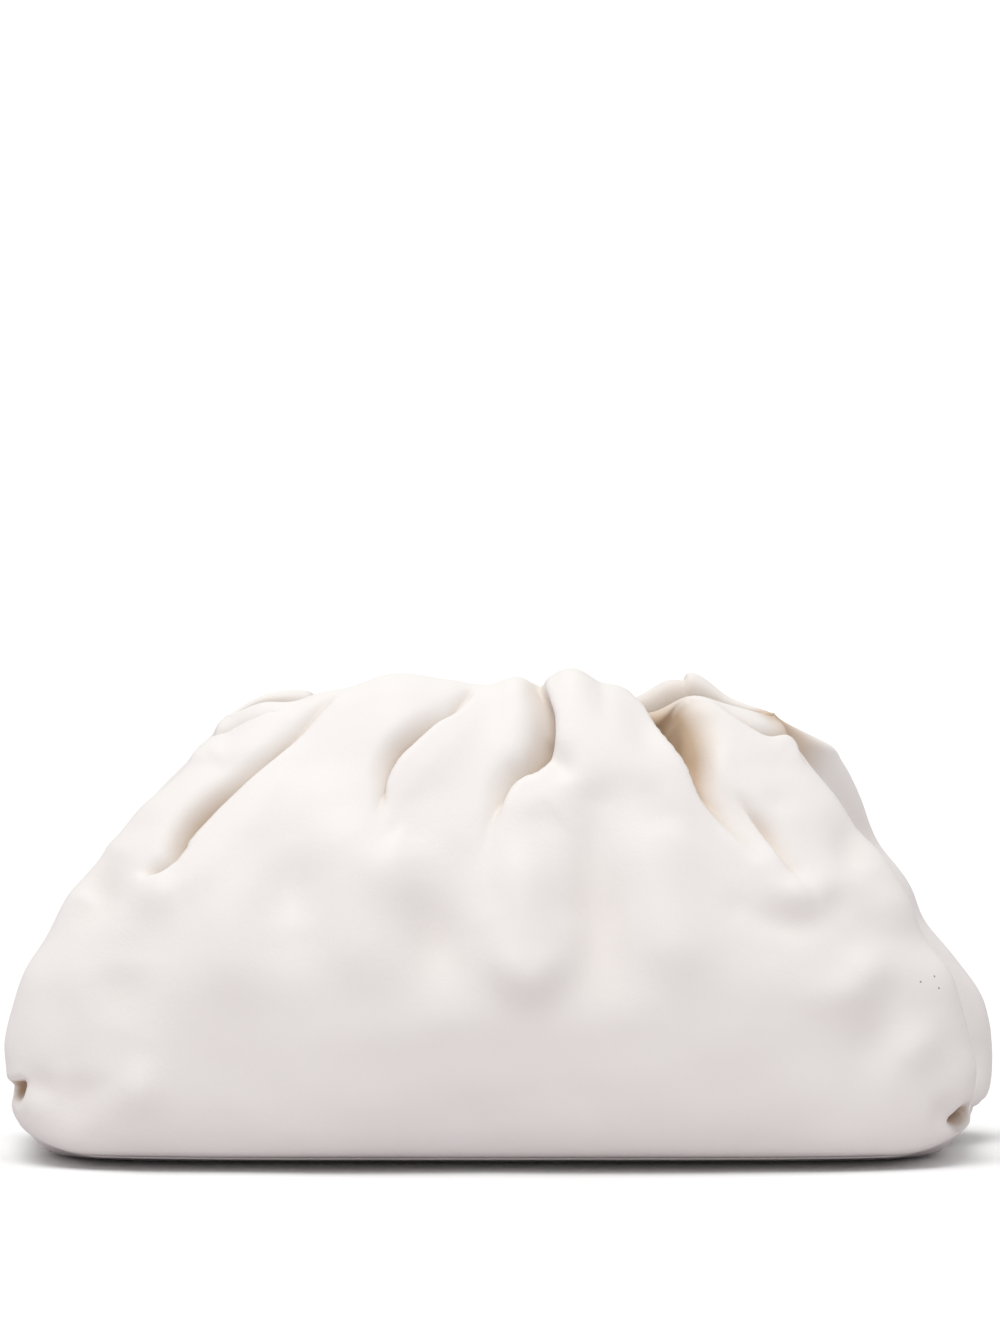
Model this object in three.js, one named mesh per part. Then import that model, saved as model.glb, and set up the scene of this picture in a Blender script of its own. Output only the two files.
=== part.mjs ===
// A large soft clutch: a cloud-shaped pouch of padded-looking nappa leather, gathered at the top on to a
// hidden loop frame. Two leather panels, front and back, are sewn to each other in the tucks of both ends
// and to a bottom panel whose two ends turn up. The turned-in lips of the panels line the mouth, and the
// frame lies around them, inside the gathered roll.
//
// Millimetres. +X is to the right seen from the front, +Y to the back, +Z up. The origin is the centre of
// the bottom panel's flat face.
import * as THREE from "three";

// Overall sizes.
const WIDTH = 400;
const HEIGHT = 196;
const DEPTH = 178;

// Leather with its backing, and the gap that sewn pieces keep.
const WALL = 2;
const SEAM_GAP = 0.3;

// The mouth: a slot between two straight lips. The lips hang down from the crest, and their hems turn
// out under the frame.
const MOUTH_LENGTH = 208;
const MOUTH_GAP = 8;
const LIP_DROP = 45;
const HEM_WIDTH = 6;

// The bottom seam rises towards both ends, and the rim of the bottom panel curves up to meet it.
const RISE_LENGTH = 34;
const RISE_HEIGHT = 12;
const RISE_FADES_AT = 0.16;

// The hidden frame: a flat bar bent into a loop around the lips.
const FRAME_BAR = 2.5;
const FRAME_HEIGHT = 10;
const FRAME_CLEARANCE = 0.3;

// How finely the panels are divided.
const PANEL_COLUMNS = 38;
const SECTION_SAMPLES = 240;
const PATH_SAMPLES = 14;
const LOBE_SAMPLES = 60;

// A table's rows as objects, named by its columns.
function table(names, rows) {
  return rows.map((row) => Object.fromEntries(names.map((name, i) => [name, row[i]])));
}

// The form, row by row from the bottom seam over the crest. "at" counts along the panel: 0 is the bottom
// seam, 1 the crest and 1.1 the hem's edge. "rise" is a share of HEIGHT, and "front" and "back" are the
// half depths as shares of DEPTH / 2. The four half widths go from 0 just past the frame's end to 1 at
// WIDTH / 2. "tuck" is the share of that stretch by which the end seam lies inside, and "round" is the
// exponent of the rounded outline.
const FORM = table(
  ["at", "rise", "tuck", "frontLeft", "frontRight", "backLeft", "backRight", "front", "back", "round"],
  [
    [0.0, 0.0, 0.0, 0.97, 0.925, 0.97, 0.925, 0.84, 0.84, 4.6],
    [0.025, 0.02, 0.0, 0.988, 0.934, 0.985, 0.945, 0.905, 0.905, 4.4],
    [0.06, 0.056, 0.03, 0.998, 0.935, 0.99, 0.962, 0.955, 0.955, 4.0],
    [0.1, 0.1, 0.09, 1.0, 0.94, 0.995, 0.984, 0.98, 0.98, 3.6],
    [0.15, 0.15, 0.17, 1.0, 0.93, 0.995, 0.998, 0.994, 0.994, 3.2],
    [0.225, 0.225, 0.19, 1.0, 0.908, 0.99, 0.989, 1.0, 1.0, 2.8],
    [0.3, 0.3, 0.24, 0.968, 0.876, 0.957, 0.94, 0.995, 0.995, 2.6],
    [0.375, 0.375, 0.31, 0.914, 0.816, 0.897, 0.854, 0.97, 0.965, 2.5],
    [0.45, 0.45, 0.39, 0.821, 0.692, 0.805, 0.73, 0.925, 0.915, 2.45],
    [0.525, 0.525, 0.47, 0.719, 0.6, 0.702, 0.643, 0.86, 0.85, 2.4],
    [0.6, 0.6, 0.54, 0.594, 0.497, 0.578, 0.546, 0.785, 0.775, 2.35],
    [0.675, 0.675, 0.59, 0.448, 0.373, 0.432, 0.448, 0.7, 0.69, 2.3],
    [0.75, 0.75, 0.61, 0.281, 0.254, 0.286, 0.356, 0.605, 0.6, 2.3],
    [0.82, 0.822, 0.59, 0.2, 0.17, 0.2, 0.3, 0.505, 0.5, 2.3],
    [0.88, 0.885, 0.5, 0.13, 0.13, 0.125, 0.19, 0.412, 0.41, 2.4],
    [0.93, 0.937, 0.4, 0.08, 0.085, 0.08, 0.1, 0.322, 0.32, 2.5],
    [0.97, 0.978, 0.2, 0.035, 0.04, 0.035, 0.04, 0.235, 0.235, 2.6],
    [1.0, 1.0, 0.0, 0.0, 0.0, 0.0, 0.0, 0.15, 0.15, 2.8],
  ],
);

// The crest's own line, seen from the front: its height as a share of HEIGHT, against the place along the
// mouth as a share of MOUTH_LENGTH / 2.
const CREST_LINE = [
  { across: -1.06, front: 0.9, back: 0.9 },
  { across: -0.92, front: 0.938, back: 0.93 },
  { across: -0.74, front: 0.948, back: 0.945 },
  { across: -0.6, front: 0.962, back: 0.95 },
  { across: -0.42, front: 0.992, back: 0.965 },
  { across: -0.2, front: 0.98, back: 0.975 },
  { across: -0.04, front: 0.97, back: 0.965 },
  { across: 0.06, front: 0.985, back: 0.97 },
  { across: 0.17, front: 0.975, back: 0.97 },
  { across: 0.29, front: 0.992, back: 0.96 },
  { across: 0.44, front: 0.96, back: 0.945 },
  { across: 0.56, front: 0.935, back: 0.95 },
  { across: 0.72, front: 0.95, back: 0.988 },
  { across: 0.9, front: 0.925, back: 0.935 },
  { across: 1.06, front: 0.9, back: 0.905 },
];

// Folds and dents, a row for each. The path runs from the mouth down, in points [across, up]: across is a
// share of WIDTH / 2, and up counts as "at" does. Depth (inwards) or swell (outwards) and reach, the half
// width, are millimetres at the path's start, middle and end. A "lap" is a fold with one steep side: its
// upper layer lies on the side that "over" names.
const FRONT_FOLDS = [
  {
    name: "left_lap", kind: "lap", over: "right", depth: [6, 13, 0], reach: [8, 12, 8],
    path: [[-0.33, 1.02], [-0.37, 0.955], [-0.44, 0.865], [-0.528, 0.785], [-0.6, 0.7], [-0.69, 0.612]],
  },
  {
    name: "left_roll", kind: "ridge", depth: [-2, -4, -1], reach: [7, 9, 8],
    path: [[-0.42, 1.0], [-0.5, 0.9], [-0.62, 0.73], [-0.71, 0.57]],
  },
  {
    name: "far_left_lap", kind: "lap", over: "right", depth: [4, 8, 0], reach: [6, 8, 7],
    path: [[-0.46, 1.02], [-0.5, 0.94], [-0.56, 0.885], [-0.63, 0.82]],
  },
  {
    name: "left_crest_dip", kind: "valley", depth: [3, 4, 0], reach: [8, 8, 7],
    path: [[-0.45, 1.03], [-0.45, 0.99], [-0.44, 0.95]],
  },
  {
    name: "second_lap", kind: "lap", over: "right", depth: [6, 10, 0], reach: [9, 10, 8],
    path: [[-0.06, 1.02], [-0.09, 0.965], [-0.13, 0.93], [-0.18, 0.885], [-0.235, 0.79], [-0.247, 0.7]],
  },
  {
    name: "centre_lap", kind: "lap", over: "right", depth: [7, 14, 0], reach: [9, 12, 10],
    path: [[0.09, 1.02], [0.107, 0.93], [0.112, 0.86], [0.04, 0.775], [-0.013, 0.68], [-0.026, 0.55]],
  },
  {
    name: "centre_soft", kind: "valley", depth: [3, 3.5, 0], reach: [11, 13, 14],
    path: [[0.2, 1.0], [0.208, 0.85], [0.205, 0.7], [0.17, 0.48]],
  },
  {
    name: "right_lap", kind: "lap", over: "left", depth: [8, 18, 0], reach: [14, 20, 12],
    path: [[0.27, 1.02], [0.295, 0.945], [0.365, 0.845], [0.443, 0.75], [0.495, 0.684], [0.567, 0.593]],
  },
  {
    name: "right_roll", kind: "ridge", depth: [-2, -4, -2], reach: [9, 10, 8],
    path: [[0.42, 0.98], [0.55, 0.86], [0.61, 0.74], [0.66, 0.6]],
  },
  {
    name: "right_soft", kind: "valley", depth: [1, 5, 0], reach: [7, 9, 8],
    path: [[0.6, 0.75], [0.665, 0.69], [0.717, 0.625], [0.77, 0.55]],
  },
  {
    name: "far_right_lap", kind: "lap", over: "left", depth: [5, 10, 0], reach: [7, 9, 8],
    path: [[0.44, 1.02], [0.48, 0.95], [0.54, 0.92], [0.61, 0.88], [0.63, 0.82], [0.69, 0.74]],
  },
  {
    name: "right_dimple", kind: "valley", depth: [1, 4.5, 1], reach: [6, 7, 6],
    path: [[0.53, 0.515], [0.6, 0.495], [0.66, 0.515]],
  },
  {
    name: "right_hook", kind: "ridge", depth: [-1, -4, 0], reach: [9, 9, 5],
    path: [[0.78, 0.49], [0.762, 0.42], [0.71, 0.345], [0.6, 0.325]],
  },
  {
    name: "left_shoulder", kind: "valley", depth: [1, 4.5, 0], reach: [8, 10, 8],
    path: [[-0.72, 0.72], [-0.77, 0.61], [-0.82, 0.52], [-0.86, 0.45]],
  },
  {
    name: "left_low_dent", kind: "valley", depth: [1, 5, 1], reach: [12, 15, 10],
    path: [[-0.88, 0.2], [-0.87, 0.12], [-0.82, 0.04]],
  },
  {
    name: "left_low_ridge", kind: "ridge", depth: [-1, -2, 0], reach: [10, 10, 9],
    path: [[-0.71, 0.3], [-0.705, 0.17], [-0.735, 0.08]],
  },
  {
    name: "centre_bump", kind: "ridge", depth: [-1, -4, -1], reach: [8, 9, 8],
    path: [[0.0, 0.5], [0.065, 0.405], [0.13, 0.5]],
  },
  {
    name: "right_bump", kind: "ridge", depth: [-1, -3, -1], reach: [10, 11, 9],
    path: [[0.33, 0.66], [0.357, 0.52], [0.358, 0.44]],
  },
];

const BACK_FOLDS = [
  {
    name: "back_left_lap", kind: "lap", over: "right", depth: [6, 12, 0], reach: [8, 11, 9],
    path: [[-0.38, 1.02], [-0.42, 0.93], [-0.5, 0.8], [-0.6, 0.66]],
  },
  {
    name: "back_second", kind: "lap", over: "left", depth: [7, 13, 0], reach: [9, 12, 10],
    path: [[-0.22, 1.02], [-0.235, 0.93], [-0.29, 0.8], [-0.33, 0.62]],
  },
  {
    name: "back_third", kind: "valley", depth: [6, 9, 0], reach: [9, 12, 12],
    path: [[-0.06, 1.02], [-0.055, 0.9], [-0.09, 0.76], [-0.1, 0.58]],
  },
  {
    name: "back_centre", kind: "lap", over: "left", depth: [7, 14, 0], reach: [9, 12, 10],
    path: [[0.1, 1.02], [0.105, 0.92], [0.15, 0.78], [0.16, 0.56]],
  },
  {
    name: "back_fifth", kind: "valley", depth: [5, 9, 0], reach: [9, 12, 11],
    path: [[0.24, 1.02], [0.26, 0.9], [0.31, 0.76], [0.36, 0.6]],
  },
  {
    name: "back_right_lap", kind: "lap", over: "left", depth: [6, 13, 0], reach: [8, 12, 9],
    path: [[0.38, 1.02], [0.42, 0.93], [0.52, 0.8], [0.63, 0.67]],
  },
  {
    name: "back_right_shoulder", kind: "valley", depth: [1, 4.5, 0], reach: [8, 10, 9],
    path: [[0.66, 0.74], [0.74, 0.62], [0.82, 0.48]],
  },
  {
    name: "back_left_shoulder", kind: "valley", depth: [1, 4.5, 0], reach: [8, 10, 9],
    path: [[-0.64, 0.72], [-0.74, 0.6], [-0.82, 0.46]],
  },
  {
    name: "back_low_left", kind: "valley", depth: [1, 4, 1], reach: [11, 13, 10],
    path: [[-0.84, 0.24], [-0.84, 0.14], [-0.8, 0.06]],
  },
  {
    name: "back_bump", kind: "ridge", depth: [-1, -4, -1], reach: [9, 10, 9],
    path: [[-0.02, 0.6], [0.02, 0.47], [0.09, 0.42]],
  },
  {
    name: "back_left_bump", kind: "ridge", depth: [-1, -3.5, -1], reach: [10, 10, 9],
    path: [[-0.42, 0.62], [-0.46, 0.48], [-0.5, 0.4]],
  },
  {
    name: "back_right_bump", kind: "ridge", depth: [-1, -3.5, -1], reach: [10, 10, 9],
    path: [[0.42, 0.58], [0.47, 0.46], [0.47, 0.38]],
  },
];

// The rim of the bottom panel: how far out a ring lies, as a share of the seam's outline, and which share
// of the seam's rise it takes.
const BASE_RIM = [
  { out: 1, rise: 1 },
  { out: 0.975, rise: 0.28 },
  { out: 0.93, rise: 0.02 },
];

// The pinches where the ends are boxed off over the bottom, alike on all four corners but for depth. Their
// paths are [along, up], where along counts from 0 in the middle of a panel to 1 at its end seam.
const CORNER_FOLDS = [
  {
    panel: "front", end: -1, depth: [2, 6, 3], reach: [6, 8, 8],
    path: [[0.76, 0.165], [0.87, 0.155], [1.0, 0.15]],
  },
  {
    panel: "front", end: 1, depth: [2, 7, 4], reach: [6, 8, 8],
    path: [[0.74, 0.12], [0.86, 0.125], [1.0, 0.15]],
  },
  {
    panel: "back", end: -1, depth: [2, 5, 3], reach: [5, 8, 8],
    path: [[0.76, 0.155], [0.87, 0.15], [1.0, 0.15]],
  },
  {
    panel: "back", end: 1, depth: [2, 5, 3], reach: [5, 8, 8],
    path: [[0.76, 0.14], [0.87, 0.15], [1.0, 0.15]],
  },
];

// Where the rows of a panel's grid lie, counted as "at" is.
const CREST = 1;
const LIP_STRAIGHT = 1.03;
const HEM_FOLD = 1.08;
const HEM_EDGE = 1.1;
const GRID_ROWS = [
  0, 0.02, 0.05, 0.085, 0.12, 0.15, 0.18, 0.22, 0.28, 0.35, 0.42, 0.49, 0.56, 0.62, 0.68, 0.735, 0.785,
  0.83, 0.87, 0.91, 0.945, 0.975, CREST, 1.012, LIP_STRAIGHT, HEM_FOLD, HEM_EDGE,
];
const ROLL_SHARE = 0.375;
const NOTCH_SHARE = 0.27;
const STEEP_SHARE = 0.55;
const SEAM_FADE = 14;

const LEATHER = { color: 0xefe7df, roughness: 0.55, metalness: 0 };
const STEEL = { color: 0xb9b2a6, roughness: 0.35, metalness: 1 };

const clamp = (value, low, high) => Math.min(high, Math.max(low, value));
const mix = (a, b, share) => a + (b - a) * share;

// Goes smoothly from 0 at "low" to 1 at "high", which may be the smaller of the two.
function smoothstep(low, high, value) {
  const share = clamp((value - low) / (high - low), 0, 1);
  return share * share * (3 - 2 * share);
}

// A smooth curve through the values of a table's column, with three-point slopes.
function columnOf(rows, key, name) {
  const x = rows.map((row) => row[key]);
  const y = rows.map((row) => row[name]);
  const last = x.length - 1;
  const chord = (i) => (y[i + 1] - y[i]) / (x[i + 1] - x[i]);
  const slope = x.map((_, i) => {
    if (i === 0) return chord(0);
    if (i === last) return chord(last - 1);
    const before = x[i] - x[i - 1];
    const after = x[i + 1] - x[i];
    return (chord(i - 1) * after + chord(i) * before) / (before + after);
  });
  return (at) => {
    let i = 0;
    while (i < last - 1 && at > x[i + 1]) i += 1;
    const span = x[i + 1] - x[i];
    const t = clamp((at - x[i]) / span, 0, 1);
    const t2 = t * t;
    const t3 = t2 * t;
    return (2 * t3 - 3 * t2 + 1) * y[i] + (t3 - 2 * t2 + t) * span * slope[i]
      + (3 * t2 - 2 * t3) * y[i + 1] + (t3 - t2) * span * slope[i + 1];
  };
}

const columnsOf = (rows, key) => Object.fromEntries(
  Object.keys(rows[0]).filter((name) => name !== key).map((name) => [name, columnOf(rows, key, name)]),
);
const form = columnsOf(FORM, "at");
const crestLine = columnsOf(CREST_LINE, "across");

const MOUTH_END = MOUTH_LENGTH / 2;
const LIP_BOTTOM = HEIGHT - LIP_DROP;
const FRAME_INSIDE = WALL + SEAM_GAP / 2 + FRAME_CLEARANCE;
const FRAME_OUTSIDE = FRAME_INSIDE + FRAME_BAR;
const NARROWEST = MOUTH_END + FRAME_OUTSIDE + FRAME_CLEARANCE + WALL;
const SPREAD = WIDTH / 2 - NARROWEST;

// How far the bottom seam has risen at x.
function seamRise(x) {
  const end = NARROWEST + SPREAD * (x < 0 ? form.frontLeft(0) : form.frontRight(0));
  const past = (Math.abs(x) - (end - RISE_LENGTH)) / RISE_LENGTH;
  return RISE_HEIGHT * Math.max(0, past) ** 2;
}

function heightAt(panel, x, at) {
  const crest = crestLine[panel](clamp(x / MOUTH_END, -1.06, 1.06));
  const body = HEIGHT * form.rise(Math.min(at, CREST)) * mix(1, crest, smoothstep(0.7, CREST, at));
  if (at <= CREST) return body + seamRise(x) * (1 - smoothstep(GRID_ROWS[1], RISE_FADES_AT, at));
  const rollEnd = mix(body, LIP_BOTTOM, ROLL_SHARE);
  if (at < LIP_STRAIGHT) return mix(body, rollEnd, 1 - Math.cos(rollAngle(at)));
  return mix(rollEnd, LIP_BOTTOM, Math.min(1, (at - LIP_STRAIGHT) / (HEM_FOLD - LIP_STRAIGHT)));
}

// How far the leather has rolled over from the crest to the straight part of the lip.
function rollAngle(at) {
  return (clamp((at - CREST) / (LIP_STRAIGHT - CREST), 0, 1) * Math.PI) / 2;
}

// The two lobes of an end bulge past the tuck between them. Their outline is widened until its widest
// point lies at the half width.
const knownLobes = new Map();
function lobe(panel, end, at) {
  const key = `${panel}${end}${at}`;
  if (knownLobes.has(key)) return knownLobes.get(key);
  const halfWidth = NARROWEST + SPREAD * form[panel + end](at);
  const narrower = Math.min(form[`front${end}`](at), form[`back${end}`](at));
  const seam = NARROWEST + SPREAD * narrower * (1 - form.tuck(at));
  const power = 2 / form.round(at);
  let wide = halfWidth;
  const xOf = (angle) => wide * Math.sin(angle) ** power
    - (wide - seam) * Math.exp(-((Math.cos(angle) ** power / NOTCH_SHARE) ** 2));
  for (let i = 0; i < 5; i += 1) {
    let widest = 0;
    for (let k = 0; k < LOBE_SAMPLES; k += 1) {
      widest = Math.max(widest, xOf((k / LOBE_SAMPLES) * (Math.PI / 2)));
    }
    wide *= halfWidth / widest;
  }
  knownLobes.set(key, { xOf });
  return knownLobes.get(key);
}

// One point of a panel's level outline: turn runs from -1 at the left end seam to 1 at the right one.
function outlineAt(panel, at, turn) {
  const up = Math.min(at, CREST);
  const angle = (Math.abs(turn) * Math.PI) / 2;
  const forward = Math.cos(angle) ** (2 / form.round(up));
  const open = {
    x: Math.sign(turn) * lobe(panel, turn < 0 ? "Left" : "Right", up).xOf(angle),
    y: form[panel](up) * (DEPTH / 2) * forward,
  };
  if (at <= CREST) return open;
  const hem = HEM_WIDTH * clamp((at - HEM_FOLD) / (HEM_EDGE - HEM_FOLD), 0, 1);
  const closed = slotAt(turn, hem);
  const share = Math.sin(rollAngle(at));
  return { x: mix(open.x, closed.x, share), y: mix(open.y, closed.y, share) };
}

// The same point of the slot between the lips, or that much outside it: straight sides and round ends.
function slotAt(turn, outside) {
  const radius = MOUTH_GAP / 2;
  const straight = MOUTH_END - radius;
  const corner = (radius * Math.PI) / 2;
  const along = Math.abs(turn) * (straight + corner);
  if (along <= straight) return { x: Math.sign(turn) * along, y: radius + outside };
  const angle = (along - straight) / radius;
  const reach = radius + outside;
  return { x: Math.sign(turn) * (straight + reach * Math.sin(angle)), y: reach * Math.cos(angle) };
}

// A level outline as points evenly spaced along it, from the left end seam to the right one.
function outline(panel, at) {
  const facing = panel === "front" ? -1 : 1;
  const samples = Array.from({ length: SECTION_SAMPLES + 1 }, (_, i) => {
    const even = (2 * i) / SECTION_SAMPLES - 1;
    return outlineAt(panel, at, Math.sin((even * Math.PI) / 2));
  });
  const run = [0];
  for (let i = 1; i < samples.length; i += 1) {
    run.push(run[i - 1] + Math.hypot(samples[i].x - samples[i - 1].x, samples[i].y - samples[i - 1].y));
  }
  const total = run[run.length - 1];
  return (share) => {
    const wanted = ((share + 1) / 2) * total;
    let i = 1;
    while (i < run.length - 1 && run[i] < wanted) i += 1;
    const t = (wanted - run[i - 1]) / (run[i] - run[i - 1] || 1);
    const x = mix(samples[i - 1].x, samples[i].x, t);
    const y = mix(samples[i - 1].y, samples[i].y, t);
    return new THREE.Vector3(x, facing * (y + SEAM_GAP / 2), heightAt(panel, x, at));
  };
}

// The point of a panel's smooth form that is seen straight ahead at x.
function pointAcross(panel, x, at) {
  const place = outline(panel, at);
  let low = 0;
  let high = 0.86;
  for (let i = 0; i < 24; i += 1) {
    const middle = (low + high) / 2;
    if (Math.abs(place(Math.sign(x) * middle).x) < Math.abs(x)) low = middle;
    else high = middle;
  }
  return place(Math.sign(x) * low);
}

// A fold's path laid on a panel, as evenly counted points with its depth and reach at each.
function layFold(panel, fold) {
  const points = fold.path.map(([across, up]) => (fold.end
    ? outline(panel, up)(fold.end * across)
    : pointAcross(panel, (across * WIDTH) / 2, up)));
  const curve = new THREE.CatmullRomCurve3(points, false, "centripetal");
  const threeValues = ([start, middle, end], t) => (t < 0.5
    ? mix(start, middle, smoothstep(0, 0.5, t))
    : mix(middle, end, smoothstep(0.5, 1, t)));
  return Array.from({ length: PATH_SAMPLES + 1 }, (_, i) => {
    const t = i / PATH_SAMPLES;
    return { point: curve.getPoint(t), depth: threeValues(fold.depth, t), reach: threeValues(fold.reach, t) };
  });
}

// How far a fold moves a point along its normal. Past the path's end the fold fades with distance.
function foldShift(fold, laid, point, normal) {
  let best = { distance: Infinity };
  for (let i = 1; i < laid.length; i += 1) {
    const a = laid[i - 1];
    const b = laid[i];
    const along = b.point.clone().sub(a.point);
    const away = point.clone().sub(a.point);
    const t = clamp(away.dot(along) / along.lengthSq(), 0, 1);
    const from = away.addScaledVector(along, -t);
    const distance = from.length();
    if (distance < best.distance) best = { distance, t, a, b, along, from };
  }
  const depth = mix(best.a.depth, best.b.depth, best.t);
  const reach = mix(best.a.reach, best.b.reach, best.t);
  if (fold.kind !== "lap") return -depth * Math.exp(-((best.distance / reach) ** 2));
  const leftOfPath = best.along.clone().cross(best.from).dot(normal) > 0;
  const upper = (fold.over === "right") === leftOfPath;
  const side = upper ? -best.distance : best.distance;
  const steep = smoothstep(-STEEP_SHARE * reach, STEEP_SHARE * reach, side);
  return -depth * steep * Math.exp(-((Math.max(0, side) / reach) ** 2));
}

// The unit normals of a grid of points, facing the way that "facing" does.
function gridNormals(grid, facing) {
  const rows = grid.length;
  const columns = grid[0].length;
  return grid.map((row, r) => row.map((_, c) => {
    const right = grid[r][Math.min(c + 1, columns - 1)].clone().sub(grid[r][Math.max(c - 1, 0)]);
    const up = grid[Math.min(r + 1, rows - 1)][c].clone().sub(grid[Math.max(r - 1, 0)][c]);
    return right.cross(up).normalize().multiplyScalar(-facing);
  }));
}

// A panel's outer face, rows from the bottom seam to the lip's edge and columns from left to right.
function outerFace(panel, folds) {
  const facing = panel === "front" ? -1 : 1;
  const smooth = GRID_ROWS.map((at) => {
    const place = outline(panel, at);
    return Array.from({ length: PANEL_COLUMNS + 1 }, (_, c) => place((2 * c) / PANEL_COLUMNS - 1));
  });
  const normals = gridNormals(smooth, facing);
  const laid = folds.map((fold) => layFold(panel, fold));
  const shifts = smooth.map((row, r) => row.map((point, c) => folds.reduce(
    (sum, fold, i) => sum + foldShift(fold, laid[i], point, normals[r][c]),
    0,
  )));
  return smooth.map((row, r) => row.map((point, c) => {
    const before = shifts[r][Math.max(c - 1, 0)];
    const after = shifts[r][Math.min(c + 1, PANEL_COLUMNS)];
    const toSeam = smoothstep(0, SEAM_FADE, Math.abs(point.y));
    const toEdges = smoothstep(0, 0.05, GRID_ROWS[r]) * smoothstep(LIP_STRAIGHT, CREST, GRID_ROWS[r]);
    const shift = ((before + 2 * shifts[r][c] + after) / 4) * toSeam * toEdges;
    return point.clone().addScaledVector(normals[r][c], shift);
  }));
}

// The inner face lies one wall behind the outer one. Its edges stay in the planes of the seams.
function innerFace(outer, facing) {
  const normals = gridNormals(outer, facing);
  const lastColumn = outer[0].length - 1;
  return outer.map((row, r) => row.map((point, c) => {
    if (r === 0) return point.clone().add(new THREE.Vector3(0, 0, WALL + SEAM_GAP));
    const inwards = normals[r][c].clone();
    if (c === 0 || c === lastColumn) inwards.y = 0;
    return point.clone().addScaledVector(inwards.normalize(), -WALL);
  }));
}

// A closed wall between two grids of the same size.
function wallGeometry(outer, inner, facing) {
  const rows = outer.length;
  const columns = outer[0].length;
  const positions = [...outer.flat(), ...inner.flat()].flatMap((p) => p.toArray());
  const outside = (r, c) => r * columns + c;
  const inside = (r, c) => rows * columns + r * columns + c;
  const faces = [];
  const quad = (a, b, c, d) => (facing < 0 ? faces.push(a, b, c, a, c, d) : faces.push(a, c, b, a, d, c));
  for (let r = 0; r < rows - 1; r += 1) {
    for (let c = 0; c < columns - 1; c += 1) {
      quad(outside(r, c), outside(r, c + 1), outside(r + 1, c + 1), outside(r + 1, c));
      quad(inside(r, c), inside(r + 1, c), inside(r + 1, c + 1), inside(r, c + 1));
    }
    quad(outside(r, 0), outside(r + 1, 0), inside(r + 1, 0), inside(r, 0));
    const end = columns - 1;
    quad(outside(r, end), inside(r, end), inside(r + 1, end), outside(r + 1, end));
  }
  for (let c = 0; c < columns - 1; c += 1) {
    quad(outside(0, c), inside(0, c), inside(0, c + 1), outside(0, c + 1));
    const top = rows - 1;
    quad(outside(top, c), outside(top, c + 1), inside(top, c + 1), inside(top, c));
  }
  const geometry = new THREE.BufferGeometry();
  geometry.setAttribute("position", new THREE.Float32BufferAttribute(positions, 3));
  geometry.setIndex(faces);
  geometry.computeVertexNormals();
  return geometry;
}

function cornerFolds(panel) {
  return CORNER_FOLDS.filter((fold) => fold.panel === panel).map((fold) => ({ ...fold, kind: "valley" }));
}

function panelMesh(panel, folds) {
  const facing = panel === "front" ? -1 : 1;
  const outer = outerFace(panel, [...folds, ...cornerFolds(panel)]);
  const mesh = new THREE.Mesh(
    wallGeometry(outer, innerFace(outer, facing), facing),
    new THREE.MeshStandardMaterial(LEATHER),
  );
  mesh.name = `${panel}_panel`;
  return mesh;
}

// The bottom panel: a flat sheet inside the seam line, with its rim curved up at both ends.
function baseMesh() {
  const edge = [];
  for (const [panel, from, to] of [["front", 0, PANEL_COLUMNS], ["back", PANEL_COLUMNS, 0]]) {
    const place = outline(panel, 0);
    const step = Math.sign(to - from);
    for (let c = from; c !== to; c += step) edge.push(place((2 * c) / PANEL_COLUMNS - 1));
  }
  const insetX = 1 - SEAM_GAP / (WIDTH / 2);
  const insetY = 1 - (1.5 * SEAM_GAP) / (form.front(0) * (DEPTH / 2));
  const count = edge.length;
  const points = [];
  for (const z of [0, WALL]) {
    for (const { out, rise } of BASE_RIM) {
      points.push(...edge.map((p) => new THREE.Vector3(
        p.x * insetX * out,
        p.y * insetY * out,
        z + rise * seamRise(p.x * insetX),
      )));
    }
    points.push(new THREE.Vector3(0, 0, z));
  }
  const layer = count * BASE_RIM.length + 1;
  const faces = [];
  for (let i = 0; i < count; i += 1) {
    const next = (i + 1) % count;
    for (let k = 0; k < BASE_RIM.length - 1; k += 1) {
      const a = k * count + i;
      const b = k * count + next;
      faces.push(a, b + count, b, a, a + count, b + count);
      faces.push(layer + a, layer + b, layer + b + count, layer + a, layer + b + count, layer + a + count);
    }
    const last = (BASE_RIM.length - 1) * count;
    faces.push(last + i, layer - 1, last + next);
    faces.push(layer + last + i, layer + last + next, 2 * layer - 1);
    faces.push(i, next, layer + next, i, layer + next, layer + i);
  }
  const geometry = new THREE.BufferGeometry();
  geometry.setAttribute("position", new THREE.Float32BufferAttribute(points.flatMap((p) => p.toArray()), 3));
  geometry.setIndex(faces);
  geometry.computeVertexNormals();
  const mesh = new THREE.Mesh(geometry, new THREE.MeshStandardMaterial(LEATHER));
  mesh.name = "base_panel";
  return mesh;
}

// A slot shape with round ends, as a path for the frame's outer and inner edges.
function slotPath(path, halfLength, radius) {
  const straight = halfLength - radius;
  path.moveTo(-straight, -radius);
  path.lineTo(straight, -radius);
  path.absarc(straight, 0, radius, -Math.PI / 2, Math.PI / 2, false);
  path.lineTo(-straight, radius);
  path.absarc(-straight, 0, radius, Math.PI / 2, (3 * Math.PI) / 2, false);
  return path;
}

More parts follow.
